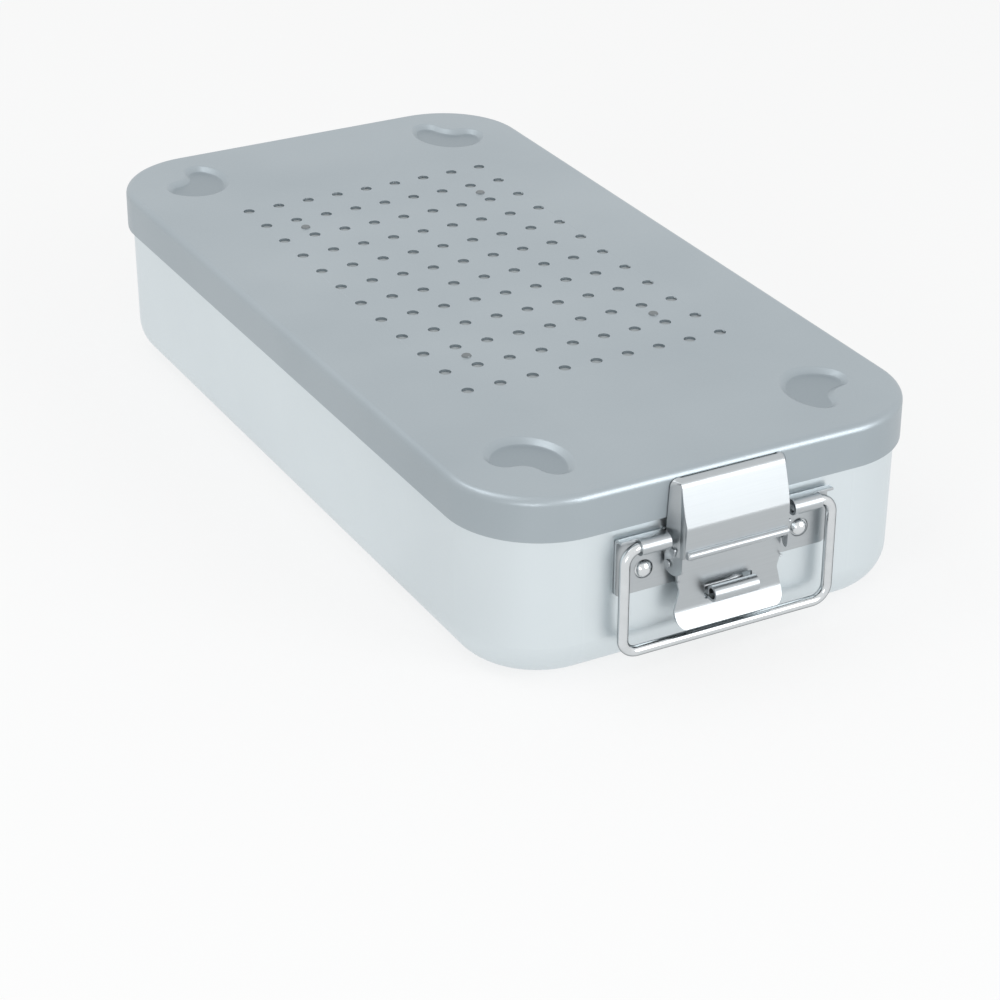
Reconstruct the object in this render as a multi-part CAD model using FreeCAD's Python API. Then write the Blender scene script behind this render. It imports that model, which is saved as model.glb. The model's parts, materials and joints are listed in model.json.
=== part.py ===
import FreeCAD, Part
import math
import os

# Perforated-lid sterilization container for surgical instruments.
# Millimetres, +Z up, +Y along the length, origin at the middle of the underside.
# The front end is at -Y; the rear end is the same hardware turned half round about Z.

# Driving dimensions of the drawn bodies
lid_width = 280.0
lid_length = 545.0
total_height = 115.0
lid_sheet = 1.5
lid_corner_r = 55.0
lid_edge_r = 4.5
skirt_depth = 25.6
pan_sheet = 1.5
pan_bottom_r = 23.0
wall_draft = 1.0
skirt_gap = 1.8
rim_bead_r = 1.1
rim_bead_edge_r = 1.05
gasket_height = 4.0
gasket_width = 7.0
gasket_edge_r = 0.5

# Perforated field and filter
hole_columns = 9
hole_rows = 12
hole_pitch_x = 20.7
hole_pitch_y = 26.9
hole_dia = 7.0
field_shift_y = 14.0
filter_sheet_t = 0.4
filter_margin = 13.0
retainer_t = 1.2
retainer_band = 13.0
retainer_window_r = 6.0
stud_shank_r = 1.6
stud_head_r = 3.0
stud_head_h = 0.7
stud_head_edge = 0.5
stud_tip = 0.6
stud_column = 3
stud_row = 4
nut_r = 6.0
nut_h = 5.0
nut_edge = 0.6
nut_grooves = 8
nut_groove_r = 1.0
nut_groove_outset = 0.3

# Stacking bosses on the lid and the recesses under the pan
boss_inset_x = 46.0
boss_inset_y = 53.5
boss_turn = 39.0
boss_height = 7.0
boss_slope = 4.5
boss_base_r = 1.6
boss_crown_r = 2.5
lobe_r = 11.0
lobe_half_span = 13.0
notch_reach = 17.0
recess_clearance = 1.0

# Latch and handle hardware, in an end frame: u outwards from the pan wall, z up.
# A drop is a distance below the hinge line, and a rise is one above it.
hinge_drop = 10.9
hinge_u = 8.2
bracket_sheet = 1.5
bracket_half_width = 67.0
bracket_drop = 31.0
bracket_corner_r = 3.0
bracket_bend_r = 3.0
knuckle_inner_x = 39.0
knuckle_length = 18.0
knuckle_side_gap = 1.0
shelf_reach = 7.0
bail_wire_r = 3.0
bail_half_width = 65.4
bail_drop = 63.0
bail_bend_r = 9.0
bail_end_inset = 1.0
lug_x = 25.0
lug_sheet = 1.8
lug_r = 4.6
lug_root_rise = 2.0
lug_root_drop = 7.6
lug_root_r = 0.5
rivet_x = 49.5
rivet_drop = 18.0
rivet_shank_r = 2.0
rivet_head_r = 5.6
rivet_head_h = 3.5
rivet_tail_r = 3.4
rivet_tail_h = 1.1
seal_half_width = 14.0
seal_roll_r = 4.6
seal_roll_turn = 300.0
seal_u = 14.4
seal_drop = 36.5
lever_sheet = 1.5
lever_ear_x = 32.6
lever_face_u = 9.0
lever_top_drop = 14.0
lever_length = 55.5
lever_waist_half = 31.0
lever_foot_half = 34.0
lever_waist_drop = 33.5
lever_foot_r = 7.0
lever_flare_drop = 43.5
lever_flare_r = 8.0
lever_flare_turn = 28.0
lever_waist_rise = 6.0
lever_waist_r = 6.0
lever_shoulder_r = 4.0
lever_hip_drop = 45.5
lever_hip_r = 8.0
lever_foot_taper = 0.5
lever_flange_rise = 7.0
lever_window_r = 1.5
lever_window_gap = 1.0
lever_ear_r = 4.4
lever_pin_r = 2.0
cover_pin_r = 1.5
cover_pin_u = 5.6
cover_pin_drop = 16.0
cover_sheet = 1.2
cover_front_half = 33.6
cover_back_half = 37.6
cover_fold_u = 16.4
cover_fold_rise = 7.5
cover_fold_r = 14.0
cover_top_u = 13.2
cover_top_drop = 3.1
cover_foot_u = 15.8
cover_foot_drop = 10.1
cover_corner_r = 6.0
cover_top_r = 4.5
cover_shoulder_r = 5.0
cover_shoulder_in = 1.5
cover_foot_out = 1.0
cover_nose = 1.0
cover_ear_r = 3.7
cover_ear_reach = 5.2
cover_ear_root_rise = 4.0
cover_ear_root_r = 1.0
cover_lip_half = 30.5
hem_r = 1.3
hem_turn = 200.0
hem_start = 0.4
hem_straight = 0.2
hem_side_gap = 3.0
pin_head_t = 0.6
lever_pin_head_r = 3.0
cover_pin_head_r = 2.4
keeper_sheet = 1.5
keeper_half_width = 28.0
keeper_leg = 13.5
keeper_reach = 3.2
keeper_rivet_x = 20.0
keeper_rivet_drop = 7.5
keeper_rivet_r = 1.6
keeper_head_r = 3.0
keeper_head_h = 1.5
keeper_tail_r = 2.6
keeper_tail_h = 0.4

# Clearances and overlaps
running_fit = 0.08
press_fit = 0.02
seat_gap = 0.1
body_gap = 0.3
cover_back_gap = 0.4
hook_overlap = 1.2
hook_play = 1.2

# Worked-out places
boss_x = lid_width / 2 - boss_inset_x
boss_y = lid_length / 2 - boss_inset_y
wall_x = lid_width / 2 - lid_sheet - skirt_gap
wall_y = lid_length / 2 - lid_sheet - skirt_gap
wall_r = lid_corner_r - lid_sheet - skirt_gap
skirt_u = lid_sheet + skirt_gap
skirt_bottom = total_height - skirt_depth
lid_under = total_height - lid_sheet
rim_top = lid_under - seat_gap - gasket_height - body_gap
recess_height = boss_height + recess_clearance
hinge_z = skirt_bottom - hinge_drop
knuckle_r = bail_wire_r + running_fit + bracket_sheet
knuckle_outer_x = knuckle_inner_x + knuckle_length
rivet_z = hinge_z - rivet_drop
seal_z = hinge_z - seal_drop
cover_pin_z = hinge_z - cover_pin_drop
cover_fold_z = hinge_z + cover_fold_rise
cover_foot_z = hinge_z - cover_foot_drop
cover_top_z = total_height - cover_top_drop
cover_back_u = skirt_u + cover_back_gap
cover_lip_u = skirt_u + keeper_reach - hook_overlap
keeper_top = cover_top_z - cover_sheet - hook_play
keeper_rivet_z = keeper_top - keeper_rivet_drop
nut_top = lid_under - 3 * seat_gap - filter_sheet_t - retainer_t


def vec(x, y, z):
    return FreeCAD.Vector(x, y, z)


def end_point(u, z, x=0.0):
    """Point of the front end frame: u outwards from the pan wall at its rim."""
    return vec(x, -(wall_y + u), z)


def arc_edge(a, b, c):
    return Part.Arc(a, b, c).toShape()


def line_edge(a, b):
    return Part.LineSegment(a, b).toShape()


def face_of(edges):
    return Part.Face(Part.Wire(edges))


def rounded_rect_wire(half_x, half_y, r, z):
    """Rounded rectangle about the Z axis, as four lines and four arcs."""
    cx = half_x - r
    cy = half_y - r
    k = r * math.sqrt(0.5)
    edges = []
    for sx, sy in ((1, 1), (-1, 1), (-1, -1), (1, -1)):
        on_side = vec(sx * half_x, sy * cy, z)
        on_end = vec(sx * cx, sy * half_y, z)
        middle = vec(sx * (cx + k), sy * (cy + k), z)
        first, last = (on_side, on_end) if sx * sy > 0 else (on_end, on_side)
        edges.append((first, middle, last))
    out = []
    for i, (first, middle, last) in enumerate(edges):
        out.append(arc_edge(first, middle, last))
        out.append(line_edge(last, edges[(i + 1) % 4][0]))
    return Part.Wire(out)


def rounded_rect_prism(half_x, half_y, r, z0, z1):
    face = Part.Face(rounded_rect_wire(half_x, half_y, r, z0))
    return face.extrude(vec(0, 0, z1 - z0))


def drafted_prism(half_x, half_y, r, z0, z1, inset):
    """Rounded rectangle that is smaller by inset at its lower end."""
    low = rounded_rect_wire(half_x - inset, half_y - inset, r - inset, z0)
    high = rounded_rect_wire(half_x, half_y, r, z1)
    return Part.makeLoft([low, high], True, True)


def edges_at(shape, z, tolerance=0.01):
    return [e for e in shape.Edges
            if abs(e.BoundBox.ZMin - z) < tolerance and abs(e.BoundBox.ZMax - z) < tolerance]


def kidney_wire(grow, z):
    """Kidney outline, notch towards -Y: one crown arc, two lobes and a concave notch arc."""
    r = lobe_r + grow
    crown = lobe_r + lobe_half_span + grow
    span = math.hypot(lobe_half_span, notch_reach)
    notch = span - r
    a = lobe_half_span
    dx = a / span
    dy = notch_reach / span
    right_in = vec(a - dx * r, -dy * r, z)
    left_in = vec(-a + dx * r, -dy * r, z)
    right_mid = vec(a + r * math.cos(math.radians(50)), -r * math.sin(math.radians(50)), z)
    left_mid = vec(-right_mid.x, right_mid.y, z)
    right_out = vec(crown, 0, z)
    left_out = vec(-crown, 0, z)
    return Part.Wire([arc_edge(right_out, vec(0, crown, z), left_out),
                      arc_edge(left_out, left_mid, left_in),
                      arc_edge(left_in, vec(0, -notch_reach + notch, z), right_in),
                      arc_edge(right_in, right_mid, right_out)])


def kidney_mound(base_grow, top_grow, z0, z1):
    return Part.makeLoft([kidney_wire(base_grow, z0), kidney_wire(top_grow, z1)], True, True)


def at_corners(mound):
    """Copies of a mound at the four corners, notch outwards."""
    front = mound.copy()
    front.rotate(vec(0, 0, 0), vec(0, 0, 1), -boss_turn)
    front.translate(vec(-boss_x, -boss_y, 0))
    side = front.mirror(vec(0, 0, 0), vec(1, 0, 0))
    rear = [s.mirror(vec(0, 0, 0), vec(0, 1, 0)) for s in (front, side)]
    return [front, side] + rear


def boss_edges(shape, z):
    """Edges of the four bosses at height z."""
    crown = lobe_r + lobe_half_span
    return [e for e in edges_at(shape, z)
            if math.hypot(abs(e.BoundBox.Center.x) - boss_x, abs(e.BoundBox.Center.y) - boss_y) < crown]


def turned(profile, axis_point, axis):
    """Solid of revolution of a closed polygon given as points."""
    face = Part.Face(Part.makePolygon(profile + [profile[0]]))
    return face.revolve(axis_point, axis, 360)


def strip_face(start, heading, steps, thickness):
    """Profile of a bent sheet in the end frame.

    It follows the middle of the sheet from start: each step is a straight length,
    or a bend as (radius, turn in degrees), positive to the left of the path."""
    u, z = start
    h = math.radians(heading)
    half = thickness / 2
    left = []
    right = []

    def side(point, angle, sign):
        return end_point(point[0] - sign * half * math.sin(angle), point[1] + sign * half * math.cos(angle))

    for step in steps:
        if isinstance(step, tuple):
            r, turn = step
            a = math.radians(turn)
            s = 1 if turn > 0 else -1
            cu = u - s * r * math.sin(h)
            cz = z + s * r * math.cos(h)

            def on_arc(angle):
                return cu + s * r * math.sin(angle), cz - s * r * math.cos(angle)

            mid, end = on_arc(h + a / 2), on_arc(h + a)
            for sign, chain in ((1, left), (-1, right)):
                first = side((u, z), h, sign)
                middle = side(mid, h + a / 2, sign)
                chain.append(arc_edge(first, middle, side(end, h + a, sign)))
            u, z = end
            h += a
        else:
            end = (u + step * math.cos(h), z + step * math.sin(h))
            for sign, chain in ((1, left), (-1, right)):
                chain.append(line_edge(side((u, z), h, sign), side(end, h, sign)))
            u, z = end
    start_cap = line_edge(right[0].Vertexes[0].Point, left[0].Vertexes[0].Point)
    end_cap = line_edge(left[-1].Vertexes[-1].Point, right[-1].Vertexes[-1].Point)
    return Part.Face(Part.Wire(Part.__sortEdges__([start_cap] + left + [end_cap] + right)))


def span(face, x0, x1):
    """Extrudes a profile of the end frame from x0 to x1."""
    moved = face.copy()
    moved.translate(vec(x0, 0, 0))
    return moved.extrude(vec(x1 - x0, 0, 0))


def hull_face(circles):
    """Link plate outline in the end frame: the hull of circles (u, z, r) in counterclockwise order."""
    normals = []
    count = len(circles)
    for i in range(count):
        u0, z0, r0 = circles[i]
        u1, z1, r1 = circles[(i + 1) % count]
        run = math.hypot(u1 - u0, z1 - z0)
        normals.append(math.atan2(z1 - z0, u1 - u0) - math.acos((r0 - r1) / run))

    def rim(i, angle):
        u, z, r = circles[i]
        return end_point(u + r * math.cos(angle), z + r * math.sin(angle))

    edges = []
    for i in range(count):
        a = normals[i - 1]
        b = normals[i]
        while b < a:
            b += 2 * math.pi
        edges.append(arc_edge(rim(i, a), rim(i, (a + b) / 2), rim(i, b)))
        edges.append(line_edge(rim(i, b), rim((i + 1) % count, b)))
    return face_of(edges)


def rounded_polygon(points, place):
    """Closed outline from (a, b, corner radius) points, mapped to space by place(a, b)."""
    count = len(points)
    corners = []
    for i in range(count):
        a, b, r = points[i]
        pa, pb, _ = points[i - 1]
        na, nb, _ = points[(i + 1) % count]
        before = math.hypot(pa - a, pb - b)
        after = math.hypot(na - a, nb - b)
        d0 = ((pa - a) / before, (pb - b) / before)
        d1 = ((na - a) / after, (nb - b) / after)
        opening = math.acos(max(-1.0, min(1.0, d0[0] * d1[0] + d0[1] * d1[1])))
        if r == 0:
            corners.append((place(a, b), None, place(a, b)))
            continue
        cut = r / math.tan(opening / 2)
        reach = r / math.sin(opening / 2)
        m = (d0[0] + d1[0], d0[1] + d1[1])
        length = math.hypot(*m)
        to_arc = (reach - r) / length
        corners.append((place(a + cut * d0[0], b + cut * d0[1]),
                        place(a + to_arc * m[0], b + to_arc * m[1]),
                        place(a + cut * d1[0], b + cut * d1[1])))
    edges = []
    for i in range(count):
        first, middle, last = corners[i]
        if middle is not None:
            edges.append(arc_edge(first, middle, last))
        edges.append(line_edge(last, corners[(i + 1) % count][0]))
    return face_of(edges)


def x_cylinder(u, z, r, x0, x1):
    return Part.makeCylinder(r, x1 - x0, end_point(u, z, x0), vec(1, 0, 0))


def u_cylinder(x, z, r, u0, u1):
    return Part.makeCylinder(r, u1 - u0, end_point(u0, z, x), vec(0, -1, 0))


def wall_inset(z):
    """How far the drafted pan wall stands in from its rim line at height z."""
    return wall_draft * (rim_top - z) / rim_top


def make_pan():
    outer = drafted_prism(wall_x, wall_y, wall_r, 0, rim_top, wall_draft)
    outer = outer.makeFillet(pan_bottom_r, edges_at(outer, 0))
    inner_low = rounded_rect_wire(wall_x - wall_draft - pan_sheet, wall_y - wall_draft - pan_sheet,
                                  wall_r - wall_draft - pan_sheet, pan_sheet)
    inner_high = rounded_rect_wire(wall_x - pan_sheet, wall_y - pan_sheet, wall_r - pan_sheet, rim_top + 1)
    inner = Part.makeLoft([inner_low, inner_high], True, True)
    inner = inner.makeFillet(pan_bottom_r - pan_sheet, edges_at(inner, pan_sheet))
    pan = outer.cut(inner)
    bead_ring = rounded_rect_prism(wall_x + rim_bead_r, wall_y + rim_bead_r, wall_r + rim_bead_r,
                                   rim_top - 2 * rim_bead_r, rim_top)
    bead_edges = edges_at(bead_ring, rim_top) + edges_at(bead_ring, rim_top - 2 * rim_bead_r)
    bead_ring = bead_ring.makeFillet(rim_bead_edge_r, bead_edges)
    bead_ring = bead_ring.cut(rounded_rect_prism(wall_x - pan_sheet / 2, wall_y - pan_sheet / 2,
                                                 wall_r - pan_sheet / 2, 0, total_height))
    pan = pan.fuse(bead_ring)
    bumps = at_corners(kidney_mound(recess_clearance + pan_sheet, recess_clearance + pan_sheet - boss_slope,
                                    pan_sheet / 2, recess_height + pan_sheet))
    recesses = at_corners(kidney_mound(recess_clearance, recess_clearance - boss_slope, 0, recess_height))
    pan = pan.fuse(bumps).cut(recesses)
    for end in (-1, 1):
        for x in (-rivet_x, rivet_x):
            pan = pan.cut(Part.makeCylinder(rivet_shank_r + press_fit, 4 * pan_sheet,
                                            vec(x, end * (wall_y - 3 * pan_sheet), rivet_z), vec(0, end, 0)))
    return pan.removeSplitter()


def field_places():
    for column in range(hole_columns):
        for row in range(hole_rows):
            x = (column - (hole_columns - 1) / 2) * hole_pitch_x
            y = field_shift_y + (row - (hole_rows - 1) / 2) * hole_pitch_y
            yield x, y


def stud_places():
    return [(sx * stud_column * hole_pitch_x, field_shift_y + sy * stud_row * hole_pitch_y)
            for sy in (-1, 1) for sx in (-1, 1)]


def make_lid():
    outer = rounded_rect_prism(lid_width / 2, lid_length / 2, lid_corner_r, skirt_bottom, total_height)
    outer = outer.makeFillet(lid_edge_r, edges_at(outer, total_height))
    inner = rounded_rect_prism(lid_width / 2 - lid_sheet, lid_length / 2 - lid_sheet,
                               lid_corner_r - lid_sheet, skirt_bottom - lid_sheet, lid_under)
    inner = inner.makeFillet(lid_edge_r - lid_sheet, edges_at(inner, lid_under))
    lid = outer.cut(inner)
    foot = total_height - lid_sheet / 2
    bosses = at_corners(kidney_mound(0, -boss_slope, foot, total_height + boss_height))
    hollows = at_corners(kidney_mound(-lid_sheet, -boss_slope - lid_sheet / 2, lid_under,
                                      total_height + boss_height - lid_sheet))
    lid = lid.fuse(bosses)
    lid = lid.makeFillet(boss_crown_r, boss_edges(lid, total_height + boss_height))
    lid = lid.makeFillet(boss_base_r, boss_edges(lid, total_height))
    lid = lid.cut(hollows)
    low = lid_under - lid_sheet
    drills = [Part.makeCylinder(hole_dia / 2, 3 * lid_sheet, vec(x, y, low)) for x, y in field_places()]
    drills += [Part.makeCylinder(stud_shank_r + press_fit, 3 * lid_sheet, vec(x, y, low))
               for x, y in stud_places()]
    for end in (-1, 1):
        for x in (-keeper_rivet_x, keeper_rivet_x):
            drills.append(Part.makeCylinder(keeper_rivet_r + press_fit, 4 * lid_sheet,
                                            vec(x, end * (lid_length / 2 - 3 * lid_sheet), keeper_rivet_z),
                                            vec(0, end, 0)))
    return lid.cut(Part.makeCompound(drills)).removeSplitter()


def make_gasket():
    """Rubber ring under the lid: its outer corner clears the lid's inner bend."""
    top = lid_under - seat_gap
    half_x = lid_width / 2 - lid_sheet - body_gap
    half_y = lid_length / 2 - lid_sheet - body_gap
    corner = lid_corner_r - lid_sheet - body_gap
    ring = rounded_rect_prism(half_x, half_y, corner, top - gasket_height, top)
    ring = ring.makeFillet(lid_edge_r - lid_sheet + seat_gap, edges_at(ring, top))
    ring = ring.makeFillet(gasket_edge_r, edges_at(ring, top - gasket_height))
    return ring.cut(rounded_rect_prism(half_x - gasket_width, half_y - gasket_width, corner - gasket_width,
                                       0, total_height))


def field_half_sizes():
    return ((hole_columns - 1) / 2 * hole_pitch_x + filter_margin,
            (hole_rows - 1) / 2 * hole_pitch_y + filter_margin)


def make_filter_sheet():
    half_x, half_y = field_half_sizes()
    top = lid_under - seat_gap
    sheet = rounded_rect_prism(half_x, half_y, retainer_window_r, top - filter_sheet_t, top)
    sheet.translate(vec(0, field_shift_y, 0))
    for x, y in stud_places():
        sheet = sheet.cut(Part.makeCylinder(stud_shank_r + running_fit, total_height, vec(x, y, 0)))
    return sheet


def make_retainer():
    """Stamped frame with two cross bands on the studs and one long band in the middle."""
    half_x, half_y = field_half_sizes()
    top = lid_under - seat_gap - filter_sheet_t - seat_gap
    frame = rounded_rect_prism(half_x, half_y, retainer_window_r, top - retainer_t, top)
    stud_y = stud_row * hole_pitch_y
    bands = [-half_y, -stud_y, stud_y, half_y]
    for i in range(3):
        low = bands[i] + (retainer_band if i == 0 else retainer_band / 2)
        high = bands[i + 1] - (retainer_band if i == 2 else retainer_band / 2)
        for sx in (-1, 1):
            inner_x = retainer_band / 2
            outer_x = half_x - retainer_band
            window = rounded_rect_prism((outer_x - inner_x) / 2, (high - low) / 2, retainer_window_r,
                                        0, total_height)
            window.translate(vec(sx * (outer_x + inner_x) / 2, (high + low) / 2, 0))
            frame = frame.cut(window)
    frame.translate(vec(0, field_shift_y, 0))
    for x, y in stud_places():
        frame = frame.cut(Part.makeCylinder(stud_shank_r + running_fit, total_height, vec(x, y, 0)))
    return frame


def make_stud(x, y):
    """Flat-headed stud from the lid's top face down past the retainer."""
    tip = nut_top - nut_h - stud_tip
    head_top = total_height + stud_head_h
    profile = [vec(0, 0, tip), vec(stud_shank_r, 0, tip), vec(stud_shank_r, 0, total_height),
               vec(stud_head_r, 0, total_height), vec(stud_head_r - stud_head_edge, 0, head_top),
               vec(0, 0, head_top)]
    stud = turned(profile, vec(0, 0, 0), vec(0, 0, 1))
    stud.translate(vec(x, y, 0))
    return stud


def make_nut(x, y):
    """Grooved thumb nut on a stud."""
    top = nut_top
    nut = Part.makeCylinder(nut_r, nut_h, vec(0, 0, top - nut_h))
    nut = nut.makeChamfer(nut_edge, edges_at(nut, top - nut_h))
    groove = Part.makeCylinder(nut_groove_r, nut_h, vec(nut_r + nut_groove_outset, 0, top - nut_h))
    for i in range(nut_grooves):
        cut = groove.copy()
        cut.rotate(vec(0, 0, 0), vec(0, 0, 1), 360 * i / nut_grooves)
        nut = nut.cut(cut)
    nut = nut.cut(Part.makeCylinder(stud_shank_r + press_fit, nut_h, vec(0, 0, top - nut_h)))
    nut.translate(vec(x, y, 0))
    return nut


def make_bracket():
    """Plate riveted to the end wall, with rolled knuckles, pivot lugs and the rolled seal loop."""
    mid = bracket_sheet / 2
    roll_mid = knuckle_r - mid
    shelf_z = hinge_z + roll_mid
    bend_mid = bracket_bend_r
    wing_z = shelf_z - bend_mid
    tongue_z = seal_z - seal_roll_r + mid

    def place(x, z):
        return end_point(0, z, x)

    half = bracket_half_width
    r = bracket_corner_r
    loop = seal_half_width
    bottom = hinge_z - bracket_drop
    centre_top = shelf_z - body_gap
    outline = [(-half, wing_z, 0), (-half, bottom, r), (-loop, bottom, r),
               (-loop, tongue_z + bend_mid, 0), (loop, tongue_z + bend_mid, 0), (loop, bottom, r),
               (half, bottom, r), (half, wing_z, 0), (knuckle_inner_x, wing_z, 0),
               (knuckle_inner_x - knuckle_side_gap, centre_top, r),
               (-knuckle_inner_x + knuckle_side_gap, centre_top, r),
               (-knuckle_inner_x, wing_z, 0)]
    bracket = rounded_polygon(outline, place).extrude(vec(0, -bracket_sheet, 0))
    shelf = [(bend_mid, -90), shelf_reach - mid - bend_mid]
    knuckle = [(bend_mid, -90), hinge_u - mid - bend_mid, (roll_mid, -300)]
    shelf_face = strip_face((mid, wing_z), 90, shelf, bracket_sheet)
    knuckle_face = strip_face((mid, wing_z), 90, knuckle, bracket_sheet)
    for side in (-1, 1):
        for face, near, far in ((knuckle_face, knuckle_inner_x, knuckle_outer_x),
                                (shelf_face, knuckle_outer_x, half)):
            x0, x1 = sorted((side * near, side * far))
            bracket = bracket.fuse(span(face, x0, x1))
    loop_steps = [(bend_mid, 90), seal_u - mid - bend_mid, (seal_roll_r - mid, seal_roll_turn)]
    loop_face = strip_face((mid, tongue_z + bend_mid), -90, loop_steps, bracket_sheet)
    bracket = bracket.fuse(span(loop_face, -loop, loop))
    lug = hull_face([(hinge_u, hinge_z, lug_r), (mid, hinge_z + lug_root_rise, lug_root_r),
                     (mid, hinge_z - lug_root_drop, lug_root_r)])
    for x in (-lug_x, lug_x):
        bracket = bracket.fuse(span(lug, x - lug_sheet / 2, x + lug_sheet / 2))
    lug_end = lug_x + lug_sheet
    bracket = bracket.cut(x_cylinder(hinge_u, hinge_z, lever_pin_r + running_fit, -lug_end, lug_end))
    for x in (-rivet_x, rivet_x):
        bracket = bracket.cut(u_cylinder(x, rivet_z, rivet_shank_r + press_fit, -1, bracket_sheet + 1))
    return bracket.removeSplitter()


def domed_rivet(x, z, seat_u, back_u, shank_r, head_r, head_h, tail_r, tail_h):
    """Rivet with a domed head on seat_u outside and a flat tail on back_u inside."""
    dome = (head_r ** 2 + head_h ** 2) / (2 * head_h)
    top = seat_u + head_h
    centre = top - dome
    half = math.asin(head_r / dome) / 2

    def at(radius, u):
        return end_point(u, z + radius, x)

    shoulder = at(dome * math.sin(half), centre + dome * math.cos(half))
    edges = [line_edge(at(0, back_u - tail_h), at(tail_r, back_u - tail_h)),
             line_edge(at(tail_r, back_u - tail_h), at(tail_r, back_u)),
             line_edge(at(tail_r, back_u), at(shank_r, back_u)),
             line_edge(at(shank_r, back_u), at(shank_r, seat_u)),
             line_edge(at(shank_r, seat_u), at(head_r, seat_u)),
             arc_edge(at(head_r, seat_u), shoulder, at(0, top)),
             line_edge(at(0, top), at(0, back_u - tail_h))]
    return face_of(edges).revolve(end_point(0, z, x), vec(0, 1, 0), 360)


def make_bracket_rivet(x):
    back = -(wall_inset(rivet_z - rivet_tail_r) + pan_sheet + press_fit)
    seat = bracket_sheet + press_fit
    return domed_rivet(x, rivet_z, seat, back, rivet_shank_r, rivet_head_r, rivet_head_h, rivet_tail_r,
                       rivet_tail_h)


def make_keeper():
    """Angle on the skirt whose ledge the hook pulls down."""
    mid = keeper_sheet / 2
    bend = keeper_sheet
    steps = [keeper_leg - mid - bend, (bend, -90), keeper_reach - mid - bend]
    keeper = span(strip_face((skirt_u + mid, keeper_top - keeper_leg), 90, steps, keeper_sheet),
                  -keeper_half_width, keeper_half_width)
    for x in (-keeper_rivet_x, keeper_rivet_x):
        keeper = keeper.cut(u_cylinder(x, keeper_rivet_z, keeper_rivet_r + press_fit, 0, 3 * skirt_u))
    return keeper


def make_keeper_rivet(x):
    seat = skirt_u + keeper_sheet + press_fit
    back = skirt_gap - press_fit
    return domed_rivet(x, keeper_rivet_z, seat, back, keeper_rivet_r, keeper_head_r, keeper_head_h,
                       keeper_tail_r, keeper_tail_h)


def make_lever():
    """Hourglass pull tab with turned-back ears, a flared foot and a window for the seal loop."""
    mid = lever_sheet / 2
    face_u = lever_face_u - mid
    top = hinge_z - lever_top_drop
    waist_z = hinge_z - lever_waist_drop
    bottom = hinge_z - lever_length
    turn = math.radians(lever_flare_turn)
    foot = (lever_length - lever_flare_drop - lever_flare_r * math.sin(turn)) / math.cos(turn)
    steps = [lever_flare_drop - lever_top_drop, (lever_flare_r, lever_flare_turn), foot]
    sheet = span(strip_face((face_u, top), -90, steps, lever_sheet),
                 -2 * lever_foot_half, 2 * lever_foot_half)

    def place(x, z):
        return end_point(-lever_face_u, z, x)

    ear = lever_ear_x
    waist = lever_waist_half
    foot_half = lever_foot_half
    hip_z = hinge_z - lever_hip_drop
    shoulder_z = waist_z + lever_waist_rise
    above = top + lever_sheet
    foot_edge = foot_half - lever_foot_taper
    outline = [(-ear, above, 0), (-ear, shoulder_z, lever_shoulder_r), (-waist, waist_z, lever_waist_r),
               (-foot_half, hip_z, lever_hip_r), (-foot_edge, bottom, lever_foot_r),
               (foot_edge, bottom, lever_foot_r), (foot_half, hip_z, lever_hip_r),
               (waist, waist_z, lever_waist_r), (ear, shoulder_z, lever_shoulder_r), (ear, above, 0)]
    blank = rounded_polygon(outline, place).extrude(vec(0, -4 * lever_face_u, 0))
    lever = sheet.common(blank)

    def loop_radius(u, z):
        return math.hypot(u - hinge_u, z - hinge_z)

    near = loop_radius(seal_u, seal_z) - seal_roll_r - 2 * body_gap
    far = loop_radius(seal_u, seal_z - seal_roll_r) + 2 * body_gap
    window_half = seal_half_width + lever_window_gap
    r = lever_window_r
    window = rounded_polygon([(-window_half, hinge_z - near, r), (-window_half, hinge_z - far, r),
                              (window_half, hinge_z - far, r), (window_half, hinge_z - near, r)],
                             place).extrude(vec(0, -3 * lever_face_u, 0))
    lever = lever.cut(window)
    taper_z = waist_z + lever_flange_rise
    pivot_r = lever_face_u - cover_pin_u
    link = hull_face([(hinge_u, hinge_z, lever_ear_r), (cover_pin_u, cover_pin_z, pivot_r)])
    flange = hull_face([(cover_pin_u, cover_pin_z, pivot_r), (face_u, taper_z, mid)])
    for side in (-1, 1):
        x0, x1 = sorted((side * lever_ear_x, side * (lever_ear_x - lever_sheet)))
        lever = lever.fuse([span(link, x0, x1), span(flange, x0, x1)])
    lever = lever.cut(x_cylinder(hinge_u, hinge_z, lever_pin_r + press_fit, -2 * ear, 2 * ear))
    lever = lever.cut(x_cylinder(cover_pin_u, cover_pin_z, cover_pin_r + running_fit, -2 * ear, 2 * ear))
    return lever.removeSplitter()


def headed_pin(u, z, r, head_r, head_t, half_grip, collars=()):
    """Straight pin along X with a head at each end outside half_grip."""
    pin = x_cylinder(u, z, r, -half_grip, half_grip)
    for side in (-1, 1):
        x0, x1 = sorted((side * half_grip, side * (half_grip + head_t)))
        pin = pin.fuse(x_cylinder(u, z, head_r, x0, x1))
        for collar_r, near, far in collars:
            x0, x1 = sorted((side * near, side * far))
            pin = pin.fuse(x_cylinder(u, z, collar_r, x0, x1))
    return pin.removeSplitter()


def make_lever_pin():
    return headed_pin(hinge_u, hinge_z, lever_pin_r, lever_pin_head_r, pin_head_t, lever_ear_x + seat_gap)


def flange_half(u):
    """Outer half width of the cover's flaring flanges at depth u."""
    t = (u - cover_back_u) / (cover_fold_u - cover_back_u)
    return cover_back_half + t * (cover_front_half - cover_back_half)


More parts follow.
